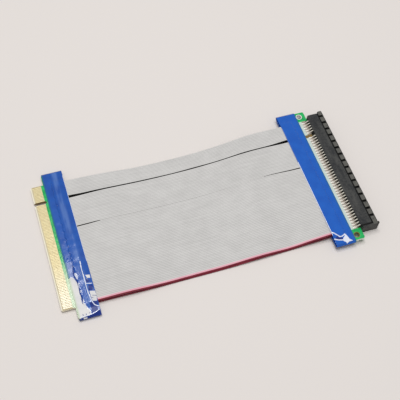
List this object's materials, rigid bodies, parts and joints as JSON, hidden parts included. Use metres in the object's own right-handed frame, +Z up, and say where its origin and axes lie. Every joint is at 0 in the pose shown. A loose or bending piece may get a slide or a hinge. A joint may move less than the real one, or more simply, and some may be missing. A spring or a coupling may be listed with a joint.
{
  "type": "pci express ribbon riser",
  "caption": "Flat ribbon extender between a bevelled, keyed card edge and a slot connector with a castellated rim; tape covers both solder lines.",
  "frame": {"origin": "on the table under the middle of the riser", "axes": "+X along the ribbons from the card edge to the slot connector, +Y across them towards the short contact section, +Z up"},
  "size_m": [0.195, 0.1016, 0.0075],
  "materials": {
    "board": "satin solder mask",
    "gold": "satin plating",
    "tin": "tinned",
    "contact": "tinned",
    "ribbon": "satin",
    "tape": "gloss film",
    "housing": "satin"
  },
  "bodies": {
    "root": {"contacts_inner_bottom": "contact", "contacts_inner_top": "contact", "contacts_outer_bottom": "contact", "contacts_outer_top": "contact", "edge_board": "board", "edge_fingers_bottom": "gold", "edge_fingers_top": "gold", "edge_tape_bottom": "tape", "edge_tape_top": "tape", "edge_wires_bottom": "tin", "edge_wires_top": "tin", "ribbon_bottom_middle": "ribbon", "ribbon_bottom_narrow": "ribbon", "ribbon_bottom_wide": "ribbon", "ribbon_top_middle": "ribbon", "ribbon_top_narrow": "ribbon", "ribbon_top_wide": "ribbon", "socket_board": "board", "socket_housing": "housing", "socket_pads_bottom": "tin", "socket_pads_top": "tin", "socket_tape_bottom": "tape", "socket_tape_top": "tape", "socket_wires_bottom": "tin", "socket_wires_top": "tin"}
  },
  "joints": []
}
